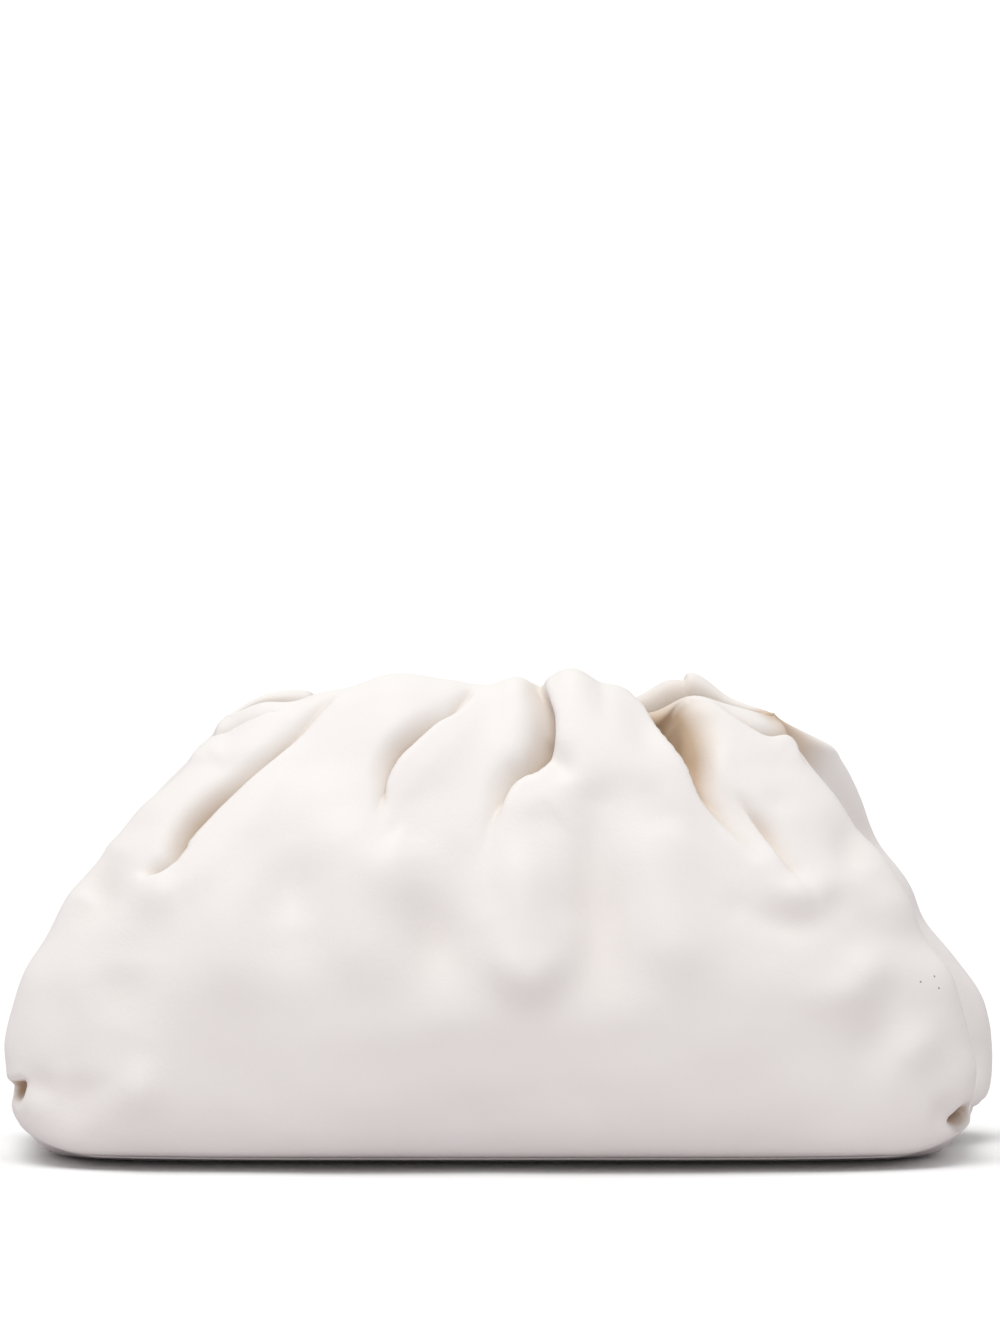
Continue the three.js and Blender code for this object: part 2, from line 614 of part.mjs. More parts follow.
// The hidden frame: a flat bar on edge, looped around both lips and resting on their hems.
function frameMesh() {
  const shape = slotPath(new THREE.Shape(), MOUTH_END + FRAME_OUTSIDE, MOUTH_GAP / 2 + FRAME_OUTSIDE);
  shape.holes.push(slotPath(new THREE.Path(), MOUTH_END + FRAME_INSIDE, MOUTH_GAP / 2 + FRAME_INSIDE));
  const bar = { depth: FRAME_HEIGHT, bevelEnabled: false, curveSegments: 7 };
  const geometry = new THREE.ExtrudeGeometry(shape, bar);
  const mesh = new THREE.Mesh(geometry, new THREE.MeshStandardMaterial(STEEL));
  mesh.name = "mouth_frame";
  mesh.position.z = LIP_BOTTOM + WALL + FRAME_CLEARANCE;
  return mesh;
}

const pouch = new THREE.Group();
pouch.add(panelMesh("front", FRONT_FOLDS), panelMesh("back", BACK_FOLDS), baseMesh(), frameMesh());

export default pouch;
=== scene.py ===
import math

import bpy
import numpy as np
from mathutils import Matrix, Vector


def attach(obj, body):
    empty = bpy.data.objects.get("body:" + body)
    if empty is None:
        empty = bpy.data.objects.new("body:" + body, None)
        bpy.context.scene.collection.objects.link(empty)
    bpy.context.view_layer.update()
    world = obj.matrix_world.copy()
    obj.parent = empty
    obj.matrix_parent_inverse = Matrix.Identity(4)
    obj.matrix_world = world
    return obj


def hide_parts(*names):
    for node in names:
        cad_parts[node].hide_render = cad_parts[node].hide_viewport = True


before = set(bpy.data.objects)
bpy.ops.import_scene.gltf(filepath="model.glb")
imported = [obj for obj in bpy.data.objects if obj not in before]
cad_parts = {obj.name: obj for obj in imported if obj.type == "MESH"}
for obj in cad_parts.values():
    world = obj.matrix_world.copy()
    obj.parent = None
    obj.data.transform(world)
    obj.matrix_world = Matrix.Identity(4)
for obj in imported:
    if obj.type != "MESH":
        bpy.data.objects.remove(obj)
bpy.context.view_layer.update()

# A soft gathered clutch in off-white nappa leather, standing on a white studio floor.
# Lengths are in millimetres until a mesh is made. +X is to the right seen from the front, +Y to the
# back, +Z up.
MM = 0.001
WIDTH = 400
HEIGHT = 196
DEPTH = 178
WALL = 2
SEAM_GAP = 0.3
MOUTH_LENGTH = 208
MOUTH_GAP = 8
LIP_DROP = 45
HEM_WIDTH = 6
FRAME_BAR = 2.5
FRAME_CLEARANCE = 0.3

MOUTH_END = MOUTH_LENGTH / 2
LIP_BOTTOM = HEIGHT - LIP_DROP
NARROWEST = MOUTH_END + 2 * WALL + SEAM_GAP / 2 + 2 * FRAME_CLEARANCE + FRAME_BAR
SPREAD = WIDTH / 2 - NARROWEST

# Places up a panel are shares: 0 at its bottom seam, 1 at its crest, and more down its lip to the hem.
CREST = 1.0
LIP_STRAIGHT = 1.03
HEM_FOLD = 1.08
HEM_EDGE = 1.1

# The bottom seam: its height above the floor along the sides and at the ends, the length over which it
# rises there, where up the panel that rise fades out, and how far the leather turns in at the seam.
EDGE_LIFT = 4
RISE_HEIGHT = 15
RISE_LENGTH = 34
RISE_STARTS_AT = 0.02
RISE_FADES_AT = 0.26
SEAM_ROLL = 1.2
SEAM_ROLL_ENDS_AT = 0.022

# The crest shapes the panel from here up, and its roll takes this share of the way down to the hem.
CREST_STARTS_AT = 0.7
ROLL_SHARE = 0.375
# How wide the tuck between the two lobes of an end is, as a share of half the depth.
NOTCH_SHARE = 0.27

# The panels' grids: columns from end seam to end seam, rows from the bottom seam to the hem, and how
# much closer together the rows get towards the crest.
PANEL_COLUMNS = 290
BODY_ROWS = 132
ROWS_CLOSER = 0.35
ROLL_ROWS = 12
LIP_ROWS = 8
HEM_ROWS = 3

# How finely outlines and paths are followed.
SECTION_SAMPLES = 720
LOBE_SAMPLES = 120
LOBE_ROUNDS = 5
PATH_SAMPLES = 28

# Half the width of a lap's steep side, and the middle of the swell beside it as a share of its reach.
LAP_EDGE = 2.6
SWELL_MIDDLE = 0.6
# Nothing of a fold is felt beyond this many times its reach. Folds fade over this length towards the
# end seams, and below this place towards the bottom seam.
FOLD_LIMIT = 3
SEAM_FADE = 14
FOLDS_FULL_AT = 0.05
# How often the finished grid is evened.
RELAX_ROUNDS = 3

# The depth at which a fold is painted in its darkest, warmest shade, the share of their own depth that
# soft folds show of it, and the depth of painted shade given to the right end's tuck, the lips and the
# corner pockets.
DEEP_CREASE = 22
SOFT_SHADE = 0.3
TUCK_SHADE = 20
LIP_SHADE = 12
POCKET_SHADE = 26
# The tuck's shade begins and is full at these places up the panel, distances from the middle plane and
# distances past the mouth's end.
TUCK_SHADE_ROWS = (0.7, 0.84)
TUCK_SHADE_WIDTHS = (13, 3)
TUCK_SHADE_LENGTHS = (-4, 6)

# Slight unevenness all over: the length of the waves and their height, how many of each, and from
# where up the panel they fade out towards the crest.
RIPPLES = ((90, 0.35), (45, 0.22), (22, 0.07))
RIPPLE_WAVES = 4
RIPPLE_SEED = 7
RIPPLES_FADE_FROM = 0.85

# Three tiny grey specks at the right end, as seen from the front, on leather at least this far forward.
SPECKS = ((171.5, 73.6), (176.4, 74.8), (178.5, 69.9))
SPECK_RADIUS = 0.6
NEAR_SIDE = 30

# Colours, in linear light.
PANEL_PALE = (0.82, 0.792, 0.768)
BASE_PALE = (0.8, 0.772, 0.748)
# The darker, warmer colour painted into folds, tucks, lips and pockets as shade.
PAINTED_SHADE_WARM = (0.58, 0.44, 0.31)
SPECK_GREY = (0.2, 0.19, 0.21)
STEEL = (0.62, 0.6, 0.57)
FLOOR_SEEN = (0.9, 0.9, 0.9)
FLOOR_BOUNCE = (0.68, 0.64, 0.66)
SKY_SEEN = (1.2, 1.2, 1.2)
SKY_LOW = (0.34, 0.33, 0.35)
SKY_HIGH = (0.72, 0.72, 0.71)

# The sky is brightest in this direction. Each sun has a direction it shines from, an angle and a power.
BRIGHTEST_SKY = (0, 0.25, 0.97)
OVERHEAD = ((-0.2, -0.18, 1), 45, 1.6)
FRONT_FILL = ((0.08, -1, 0.2), 70, 0.62)
FLOOR_HALF = 6000
FLOOR_DROP = 0.4

# The camera, and the rows of the photograph at which the bag's front foot and its folds' zero lie.
CAMERA_ELEVATION = math.radians(5)
CAMERA_DISTANCE = 3000
CAMERA_AIM = 100
FOOT_AHEAD = 75
SENSOR = 36
PHOTO_HEIGHT = 1334
PHOTO_FLOOR_ROW = 1170
FOLD_FOOT_ROW = 1162
PHOTO_MM = 0.4065

# Level sections from the bottom seam to the crest. "rise" is the height as a share of HEIGHT. The next
# columns are shares too: how far the seam draws in between an end's lobes, how far each lobe reaches
# from the narrowest half length to the widest, and the half depths. "round" is the outline's exponent.
FORM_COLUMNS = (
    "at", "rise", "tuck", "front_left", "front_right", "back_left", "back_right", "front", "back",
    "round",
)
FORM = (
    (0.0, 0.0, 0.0, 0.955, 0.9, 0.97, 0.98, 0.84, 0.84, 4.6),
    (0.025, 0.02, 0.0, 0.968, 0.902, 0.985, 1.005, 0.905, 0.905, 4.4),
    (0.06, 0.056, 0.03, 0.978, 0.904, 0.99, 1.022, 0.955, 0.955, 4.0),
    (0.1, 0.1, 0.12, 0.984, 0.91, 0.99, 1.03, 0.98, 0.98, 3.6),
    (0.15, 0.15, 0.2, 0.988, 0.912, 0.99, 1.032, 0.994, 0.994, 3.2),
    (0.225, 0.225, 0.25, 0.992, 0.885, 0.985, 1.02, 1.0, 1.0, 2.8),
    (0.3, 0.3, 0.3, 0.958, 0.845, 0.957, 0.968, 0.995, 0.995, 2.6),
    (0.375, 0.375, 0.38, 0.9, 0.785, 0.885, 0.843, 0.97, 0.965, 2.5),
    (0.45, 0.45, 0.39, 0.797, 0.662, 0.79, 0.7, 0.925, 0.915, 2.45),
    (0.525, 0.525, 0.47, 0.71, 0.588, 0.7, 0.635, 0.86, 0.85, 2.4),
    (0.6, 0.6, 0.54, 0.594, 0.497, 0.578, 0.546, 0.785, 0.775, 2.35),
    (0.675, 0.675, 0.59, 0.448, 0.373, 0.432, 0.448, 0.7, 0.69, 2.3),
    (0.75, 0.75, 0.72, 0.281, 0.254, 0.286, 0.38, 0.605, 0.6, 2.3),
    (0.82, 0.822, 0.85, 0.172, 0.17, 0.18, 0.32, 0.505, 0.5, 2.3),
    (0.88, 0.885, 0.9, 0.13, 0.125, 0.125, 0.27, 0.412, 0.41, 2.4),
    (0.93, 0.937, 0.8, 0.062, 0.08, 0.065, 0.15, 0.322, 0.32, 2.5),
    (0.97, 0.978, 0.4, 0.035, 0.04, 0.035, 0.04, 0.235, 0.235, 2.6),
    (1.0, 1.0, 0.0, 0.0, 0.0, 0.0, 0.0, 0.15, 0.15, 2.8),
)

# The crest's own line: its height as a share of HEIGHT against the place along the mouth.
CREST_COLUMNS = ("across", "front", "back")
CREST_LINE = (
    (-1.06, 0.9, 0.9),
    (-0.93, 0.93, 0.94),
    (-0.8, 0.934, 0.947),
    (-0.7, 0.952, 0.945),
    (-0.6, 0.962, 0.95),
    (-0.42, 0.992, 0.965),
    (-0.2, 0.98, 0.975),
    (-0.04, 0.97, 0.965),
    (0.06, 0.985, 0.97),
    (0.17, 0.975, 0.97),
    (0.28, 0.99, 0.96),
    (0.38, 0.962, 0.95),
    (0.46, 0.958, 0.945),
    (0.56, 0.935, 0.95),
    (0.72, 0.95, 0.988),
    (0.9, 0.925, 0.935),
    (1.06, 0.9, 0.905),
)

# Folds, each with its path as it is seen from its own side: millimetres across and up from the floor.
# "deep" is how far it goes in, or a ridge out, at its start, middle and end, and "reach" how far to
# each side it is felt there. A lap has one steep side: "over" names the side of its upper layer, "slip"
# is how far that layer hangs over the lower one, "swell" raises its edge, and "steep" says how sharply
# the lower one climbs back. "shade" makes the painted shade in a lap darker and warmer than its depth
# does.
# A fold with "crest" runs on over the crest to the mouth.
FRONT_FOLDS = (
    dict(name="left lap", kind="lap", over="right", crest=False, slip=4, shade=2.6, swell=0.12,
         path=((-70, 187), (-98, 158.5), (-118, 138), (-137, 117.5), (-152, 99)),
         deep=(3, 21, 0), reach=(9, 20, 5)),
    dict(name="far left lap", kind="lap", over="right", crest=False, slip=3, swell=0.1,
         path=((-96, 182), (-104, 179), (-112, 174), (-120, 169), (-127, 162)),
         deep=(6, 9, 0), reach=(11, 13, 8)),
    dict(name="second lap", kind="lap", over="right", crest=False, slip=3.6, shade=2.2, swell=0.1,
         path=((-12, 190), (-18, 183), (-26, 177), (-34, 170), (-40, 163), (-45, 154), (-48, 145),
               (-49, 132)),
         deep=(4, 14, 0), reach=(10, 16, 5)),
    dict(name="centre lap", kind="lap", over="right", crest=True, slip=4, shade=1.5, swell=0.12,
         path=((18, 192), (22, 187), (24, 180), (24, 171), (21, 163.5), (16, 159), (9, 155.5), (3, 149),
               (-1, 141), (-4, 130), (-6, 112)),
         deep=(5, 18, 0), reach=(14, 23, 8)),
    dict(name="centre wedge", kind="valley", crest=False,
         path=((21, 172), (25, 162), (27, 152)), deep=(3, 3, 0), reach=(3, 4, 5)),
    dict(name="centre soft", kind="valley", crest=False,
         path=((40, 144), (38, 118), (42, 84), (46, 52)),
         deep=(1.5, 6, 0), reach=(8, 13, 20)),
    dict(name="right dent", kind="valley", crest=False,
         path=((62, 147), (66, 140)), deep=(1.4, 1.4, 1.4), reach=(7, 7, 7)),
    dict(name="right lap", kind="lap", over="left", crest=True, slip=6, steep=2, shade=2.8, swell=0.12,
         path=((54, 187), (58, 180.5), (63, 173.5), (69, 165.5), (77, 155.5), (88, 142), (111, 116)),
         deep=(21, 31, 0), reach=(29, 34, 6)),
    dict(name="right wedge", kind="valley", crest=False,
         path=((82, 164), (93, 149), (103, 134), (111, 122)),
         deep=(1, 3, 0), reach=(5, 7, 5)),
    dict(name="second right lap", kind="lap", over="right", crest=False, slip=1.4, shade=2.4, swell=0.16,
         path=((118, 119), (111, 129), (103, 141), (95, 153)),
         deep=(3, 7, 0), reach=(10, 14, 9)),
    dict(name="far right lap", kind="lap", over="left", crest=False, slip=2, shade=3, swell=0.1,
         path=((92, 184), (102, 177), (109, 173.5), (119, 172.5), (123, 166), (127, 157)),
         deep=(4, 9, 0), reach=(8, 10, 8)),
    dict(name="right band", kind="valley", crest=False,
         path=((114, 147), (126, 143), (136, 135), (142, 124), (148, 112)),
         deep=(1, 4.5, 0), reach=(6, 9, 8)),
    dict(name="right crescent", kind="valley", crest=False,
         path=((98, 104), (110, 98.5), (124, 98), (136, 104)),
         deep=(1.4, 2.2, 1.2), reach=(7, 7.5, 7)),
    dict(name="right U", kind="ridge", crest=False,
         path=((108, 118), (114, 110), (122, 107), (130, 110), (133, 122)),
         deep=(1.5, 3.2, 1.5), reach=(7, 8, 8)),
    dict(name="right hook", kind="ridge", crest=False,
         path=((160, 104), (155, 88), (148, 75), (140, 69), (128, 66), (113, 65)),
         deep=(1.5, 3.2, 0), reach=(10, 9, 7)),
    dict(name="right tongue", kind="ridge", crest=False,
         path=((60, 156), (67, 124), (72, 88)), deep=(1.5, 4.4, 4.2), reach=(13, 16, 16)),
    dict(name="centre tongue", kind="ridge", crest=False,
         path=((6, 142), (8, 112), (11, 84)), deep=(2, 5.5, 4.6), reach=(12, 13, 13)),
    dict(name="centre tongue rim", kind="ridge", crest=False,
         path=((-5, 96), (1, 80), (11, 72), (21, 78), (28, 94)), deep=(1, 3.4, 1), reach=(8, 8, 8)),
    dict(name="left tongue", kind="ridge", crest=False,
         path=((-66, 148), (-62, 120), (-58, 90)), deep=(1, 3, 3), reach=(14, 16, 18)),
    dict(name="second left tongue", kind="ridge", crest=False,
         path=((-100, 134), (-106, 110), (-109, 84)), deep=(1, 3, 2.6), reach=(13, 15, 18)),
    dict(name="between the left tongues", kind="valley", crest=False,
         path=((-86, 132), (-86, 112), (-84, 92)), deep=(0.5, 3, 1), reach=(8, 10, 14)),
    dict(name="left soft", kind="valley", crest=False,
         path=((-31, 116), (-28, 98), (-24, 78), (-20, 56)), deep=(1, 4.6, 0), reach=(9, 13, 18)),
    dict(name="left crescent", kind="ridge", crest=False,
         path=((-60, 130), (-52, 122), (-42, 119), (-30, 122), (-20, 131)),
         deep=(1, 4, 1), reach=(11, 14, 11)),
    dict(name="left end", kind="ridge", crest=False,
         path=((-150, 116), (-140, 108), (-126, 110)), deep=(0.5, 2.4, 0.5), reach=(9, 10, 10)),
    dict(name="left shoulder", kind="valley", crest=False,
         path=((-146, 136), (-154, 122), (-164, 106), (-173, 92)),
         deep=(1, 4.5, 0), reach=(7, 10, 9)),
    dict(name="left dent", kind="valley", crest=False,
         path=((-150, 84), (-153, 70), (-156, 52)), deep=(1, 2.5, 0.5), reach=(9, 12, 11)),
    dict(name="left side ridge", kind="ridge", crest=False,
         path=((-170, 84), (-181, 68), (-184, 50)), deep=(0.5, 2.5, 0), reach=(8, 10, 8)),
    dict(name="left low ridge", kind="ridge", crest=False,
         path=((-144, 46), (-146, 30), (-149, 14)), deep=(0.5, 3.5, 0.5), reach=(7, 9, 8)),
    dict(name="left low dent", kind="valley", crest=False,
         path=((-176, 40), (-174, 26), (-166, 12)), deep=(1, 3, 1), reach=(9, 13, 12)),
    dict(name="right low ridge", kind="ridge", crest=False,
         path=((176, 56), (168, 46), (158, 34)), deep=(0.5, 3, 0.5), reach=(7, 9, 8)),
    dict(name="right low dent", kind="valley", crest=False,
         path=((160, 66), (152, 52), (146, 36)), deep=(0.5, 2, 0.5), reach=(8, 10, 10)),
    dict(name="left pinch", kind="valley", crest=False,
         path=((-178, 31), (-188, 30.5), (-196, 30)), deep=(0, 2, 3), reach=(5, 6, 6)),
    dict(name="right pinch", kind="valley", crest=False,
         path=((172, 18), (182, 19), (192, 21)), deep=(0, 2.5, 3), reach=(5, 6, 6)),
)

BACK_FOLDS = (
    dict(name="back left lap", kind="lap", over="right", crest=True, slip=3.4, swell=0.12,
         path=((-76, 182), (-88, 168), (-104, 148), (-120, 128), (-130, 116)),
         deep=(7, 12, 0), reach=(13, 22, 12)),
    dict(name="back second lap", kind="lap", over="left", crest=True, slip=3.2, swell=0.12,
         path=((-44, 186), (-47, 170), (-56, 150), (-64, 130), (-67, 110)),
         deep=(7, 11, 0), reach=(12, 18, 12)),
    dict(name="back third", kind="valley", crest=True,
         path=((-12, 188), (-11, 172), (-17, 150), (-20, 124)),
         deep=(5, 7, 0), reach=(8, 12, 12)),
    dict(name="back centre lap", kind="lap", over="left", crest=True, slip=3.4, swell=0.12,
         path=((20, 188), (21, 174), (29, 154), (33, 134), (32, 110)),
         deep=(8, 12, 0), reach=(13, 18, 12)),
    dict(name="back fifth", kind="valley", crest=True,
         path=((48, 184), (52, 168), (61, 148), (70, 124)),
         deep=(5, 7, 0), reach=(8, 12, 10)),
    dict(name="back right lap", kind="lap", over="left", crest=True, slip=3.8, swell=0.12,
         path=((76, 184), (84, 170), (101, 152), (118, 136), (132, 122)),
         deep=(8, 13, 0), reach=(14, 22, 12)),
    dict(name="back right shoulder", kind="valley", crest=False,
         path=((132, 150), (146, 128), (158, 106), (168, 90)),
         deep=(1, 5, 0), reach=(7, 10, 9)),
    dict(name="back left shoulder", kind="valley", crest=False,
         path=((-130, 142), (-146, 122), (-160, 100), (-170, 82)),
         deep=(1, 5, 0), reach=(7, 10, 9)),
    dict(name="back tongue", kind="ridge", crest=False,
         path=((2, 140), (6, 116), (8, 92)), deep=(0, 2, 5), reach=(12, 14, 15)),
    dict(name="back left tongue", kind="ridge", crest=False,
         path=((-88, 132), (-86, 110), (-84, 90)), deep=(0, 1.5, 4.5), reach=(13, 15, 16)),
    dict(name="back right tongue", kind="ridge", crest=False,
         path=((88, 128), (94, 108), (98, 88)), deep=(0, 1.5, 4.5), reach=(13, 15, 16)),
    dict(name="back middle tongue", kind="ridge", crest=False,
         path=((52, 122), (52, 104), (52, 88)), deep=(0, 1, 3.5), reach=(10, 13, 14)),
    dict(name="back soft", kind="valley", crest=False,
         path=((-40, 118), (-42, 100), (-46, 80)), deep=(0.5, 3.5, 0.5), reach=(9, 12, 14)),
    dict(name="back left hook", kind="ridge", crest=False,
         path=((-158, 96), (-150, 78), (-136, 70), (-118, 70)),
         deep=(0.5, 3.5, 0), reach=(10, 9, 7)),
    dict(name="back right hook", kind="ridge", crest=False,
         path=((162, 92), (152, 74), (140, 64), (124, 64)),
         deep=(0.5, 3.5, 0), reach=(10, 9, 7)),
    dict(name="back left pinch", kind="valley", crest=False,
         path=((-174, 32), (-186, 31), (-196, 30)), deep=(0, 3, 4), reach=(6, 7, 6)),
    dict(name="back right pinch", kind="valley", crest=False,
         path=((174, 24), (186, 24), (196, 24)), deep=(0, 3, 4), reach=(6, 7, 6)),
    dict(name="back low ridge", kind="ridge", crest=False,
         path=((140, 44), (144, 30), (148, 14)), deep=(0.5, 3, 0.5), reach=(7, 9, 8)),
    dict(name="back low left ridge", kind="ridge", crest=False,
         path=((-142, 46), (-146, 32), (-150, 16)), deep=(0.5, 3, 0.5), reach=(7, 9, 8)),
)

# The small dark pockets where the leather is pinched in at the two front corners, as seen from the
# front: each runs outwards from its tip, with half its height at the tip and further on, how far the
# leather is pushed in there, and how far the brow over it comes down.
POCKETS = (
    dict(tip=(-195.8, 29.8), end=(-200.0, 30.4), half=(4.4, 3.4), push=(5, 18, -1), brow=2.2),
    dict(tip=(184.4, 17.6), end=(193.0, 18.2), half=(0.8, 5.0), push=(-8, 22, -1), brow=2.4),
)
# They lie beyond this distance from the middle and below this height, and have their full depth where
# the leather is as far forward as the second of these places.
POCKETS_BEYOND = 150
POCKETS_BELOW = 60
POCKET_NEAR = -24
POCKET_FAR = -36
# A pocket's edge is soft below and crisp above, as shares of its half height, and runs over this length
# at its tip. The brow lies this far above it and is this wide.
POCKET_SOFT = 0.7
POCKET_CRISP = 0.22
POCKET_TIP = 1.2
BROW_ABOVE = 2
BROW_WIDTH = 2.5

# The base's edge butts against the insides of the panels. From there its rim curves down to the floor:
# inward along the sides, inward at the ends, and height as a share of that of the edge.
BASE_INSET = WALL + SEAM_ROLL + SEAM_GAP
BASE_RIM = (
    (0.0, 0.0, 1.0),
    (3.0, 0.3, 0.96),
    (8.0, 1.0, 0.82),
    (13.0, 2.6, 0.6),
    (18.0, 5.0, 0.36),
    (23.0, 9.0, 0.14),
    (28.0, 16.0, 0.03),
    (33.0, 24.0, 0.0),
)
# Rings of the flat middle, as shares of its size.
BASE_RINGS = (0.7, 0.45, 0.22)


def column(rows, names, name):
    """A smooth curve through one column of a table, against its first column."""
    x = np.array([row[0] for row in rows], float)
    y = np.array([row[names.index(name)] for row in rows], float)
    step = np.diff(x)
    chord = np.diff(y) / step
    slope = np.empty_like(y)
    slope[0], slope[-1] = chord[0], chord[-1]
    slope[1:-1] = (chord[:-1] * step[1:] + chord[1:] * step[:-1]) / (step[:-1] + step[1:])

    def value(at):
        at = np.asarray(at, float)
        i = np.clip(np.searchsorted(x, at) - 1, 0, len(step) - 1)
        t = np.clip((at - x[i]) / step[i], 0, 1)
        return (
            (2 * t**3 - 3 * t**2 + 1) * y[i]
            + (t**3 - 2 * t**2 + t) * step[i] * slope[i]
            + (3 * t**2 - 2 * t**3) * y[i + 1]
            + (t**3 - t**2) * step[i] * slope[i + 1]
        )

    return value


form = {name: column(FORM, FORM_COLUMNS, name) for name in FORM_COLUMNS[1:]}
crest_line = {name: column(CREST_LINE, CREST_COLUMNS, name) for name in CREST_COLUMNS[1:]}


def mix(a, b, share):
    return a + (b - a) * share


def smoothstep(low, high, value):
    share = np.clip((value - low) / (high - low), 0, 1)
    return share * share * (3 - 2 * share)


def unit(v):
    return v / np.maximum(np.linalg.norm(v, axis=-1, keepdims=True), 1e-12)


def seam_rise(x):
    """How far the bottom seam rises at x above the height it has along the sides."""
    end = np.where(x < 0, NARROWEST + SPREAD * FORM[0][3], NARROWEST + SPREAD * FORM[0][4])
    past = (np.abs(x) - (end - RISE_LENGTH)) / RISE_LENGTH
    return (RISE_HEIGHT - EDGE_LIFT) * np.clip(past, 0, 1) ** 2


def roll_angle(at):
    """How far the leather has turned over at a place past the crest, up to a quarter turn."""
    return np.clip((at - CREST) / (LIP_STRAIGHT - CREST), 0, 1) * math.pi / 2


def height_at(panel, x, at):
    """The height of a panel's outline at one place up the panel."""
    crest = crest_line[panel](np.clip(x / MOUTH_END, CREST_LINE[0][0], CREST_LINE[-1][0]))
    body = HEIGHT * form["rise"](min(at, CREST)) * mix(1, crest, smoothstep(CREST_STARTS_AT, CREST, at))
    body += EDGE_LIFT * (1 - min(at, CREST))
    if at <= CREST:
        return body + seam_rise(x) * (1 - smoothstep(RISE_STARTS_AT, RISE_FADES_AT, at))
    roll_end = mix(body, LIP_BOTTOM, ROLL_SHARE)
    if at < LIP_STRAIGHT:
        return mix(body, roll_end, 1 - np.cos(roll_angle(at)))
    return mix(roll_end, LIP_BOTTOM, min(1, (at - LIP_STRAIGHT) / (HEM_FOLD - LIP_STRAIGHT)))


def lobe_x(panel, end, at, angle):
    """X along one end's outline, whose two lobes bulge past the tuck between them."""
    half = float(NARROWEST + SPREAD * form[f"{panel}_{end}"](at))
    narrower = min(float(form[f"front_{end}"](at)), float(form[f"back_{end}"](at)))
    seam = NARROWEST + SPREAD * narrower * (1 - float(form["tuck"](at)))
    power = 2 / float(form["round"](at))

    def x_of(wide, a):
        notch = (wide - seam) * np.exp(-((np.cos(a) ** power / NOTCH_SHARE) ** 2))
        return wide * np.sin(a) ** power - notch

    wide = half
    samples = np.linspace(0, math.pi / 2, LOBE_SAMPLES)[:-1]
    for _ in range(LOBE_ROUNDS):
        wide *= half / x_of(wide, samples).max()
    return x_of(wide, angle)


def slot_at(turn, outside):
    """The slot between the lips, or that much outside it: straight sides and round ends."""
    radius = MOUTH_GAP / 2
    straight = MOUTH_END - radius
    along = np.abs(turn) * (straight + radius * math.pi / 2)
    angle = np.maximum(0, along - straight) / radius
    reach = radius + outside
    x = np.where(along <= straight, along, straight + reach * np.sin(angle))
    return np.sign(turn) * x, reach * np.cos(angle)


def outline(panel, at, shares):
    """Points evenly counted along a panel's level outline, from the left end seam to the right one."""
    facing = -1 if panel == "front" else 1
    turn = np.sin(np.linspace(-1, 1, SECTION_SAMPLES + 1) * math.pi / 2)
    up = min(at, CREST)
    angle = np.abs(turn) * math.pi / 2
    left = lobe_x(panel, "left", up, angle)
    right = lobe_x(panel, "right", up, angle)
    x = np.where(turn < 0, -left, right)
    power = 2 / float(form["round"](up))
    y = float(form[panel](up)) * DEPTH / 2 * np.abs(np.cos(angle)) ** power
    if at > CREST:
        hem = HEM_WIDTH * min(1, max(0, (at - HEM_FOLD) / (HEM_EDGE - HEM_FOLD)))
        slot_x, slot_y = slot_at(turn, hem)
        share = math.sin(roll_angle(at))
        x, y = mix(x, slot_x, share), mix(y, slot_y, share)
    run = np.concatenate([[0], np.cumsum(np.hypot(np.diff(x), np.diff(y)))])
    wanted = (shares + 1) / 2 * run[-1]
    x, y = np.interp(wanted, run, x), np.interp(wanted, run, y)
    return np.stack([x, facing * (y + SEAM_GAP / 2), height_at(panel, x, at)], axis=-1)


def grid_normals(grid, facing):
    """The outward direction at each point of a panel's grid."""
    right = np.empty_like(grid)
    right[:, 1:-1] = grid[:, 2:] - grid[:, :-2]
    right[:, 0], right[:, -1] = grid[:, 1] - grid[:, 0], grid[:, -1] - grid[:, -2]
    up = np.empty_like(grid)
    up[1:-1] = grid[2:] - grid[:-2]
    up[0], up[-1] = grid[1] - grid[0], grid[-1] - grid[-2]
    return unit(np.cross(right, up)) * -facing


def camera_axes():
    """Where the camera stands, and its right, up and forward directions."""
    e = CAMERA_ELEVATION
    eye = np.array([0, -math.cos(e), math.sin(e)]) * CAMERA_DISTANCE + np.array([0, 0, CAMERA_AIM])
    foot = np.array([0, -FOOT_AHEAD, 0])
    below_middle = (PHOTO_FLOOR_ROW - PHOTO_HEIGHT / 2) * PHOTO_MM
    above_foot = below_middle * np.linalg.norm(eye - foot) / CAMERA_DISTANCE
    target = foot + np.array([0, math.sin(e), math.cos(e)]) * above_foot
    forward = unit(target - eye)
    right = np.array([1.0, 0, 0])
    return eye, right, np.cross(right, forward), forward


def as_seen(points, facing):
    """Where points are seen from the photograph's place or from behind: across and up from the floor."""
    if facing > 0:
        return points[..., (0, 2)]
    eye, right, up, forward = camera_axes()
    away = points - eye
    scale = CAMERA_DISTANCE / (away @ forward)
    foot = (FOLD_FOOT_ROW - PHOTO_HEIGHT / 2) * PHOTO_MM
    return np.stack([(away @ right) * scale, (away @ up) * scale + foot], axis=-1)


def smooth_path(points, count):
    """A Catmull-Rom curve through points."""
    p = np.array(points, float)
    p = np.vstack([2 * p[0] - p[1], p, 2 * p[-1] - p[-2]])
    out = []
    spans = len(p) - 3
    for t in np.linspace(0, spans, count):
        i = min(int(t), spans - 1)
        u = t - i
        a, b, c, d = p[i:i + 4]
        out.append(0.5 * (2 * b + (c - a) * u + (2 * a - 5 * b + 4 * c - d) * u * u
                          + (3 * b - a - 3 * c + d) * u**3))
    return np.array(out)


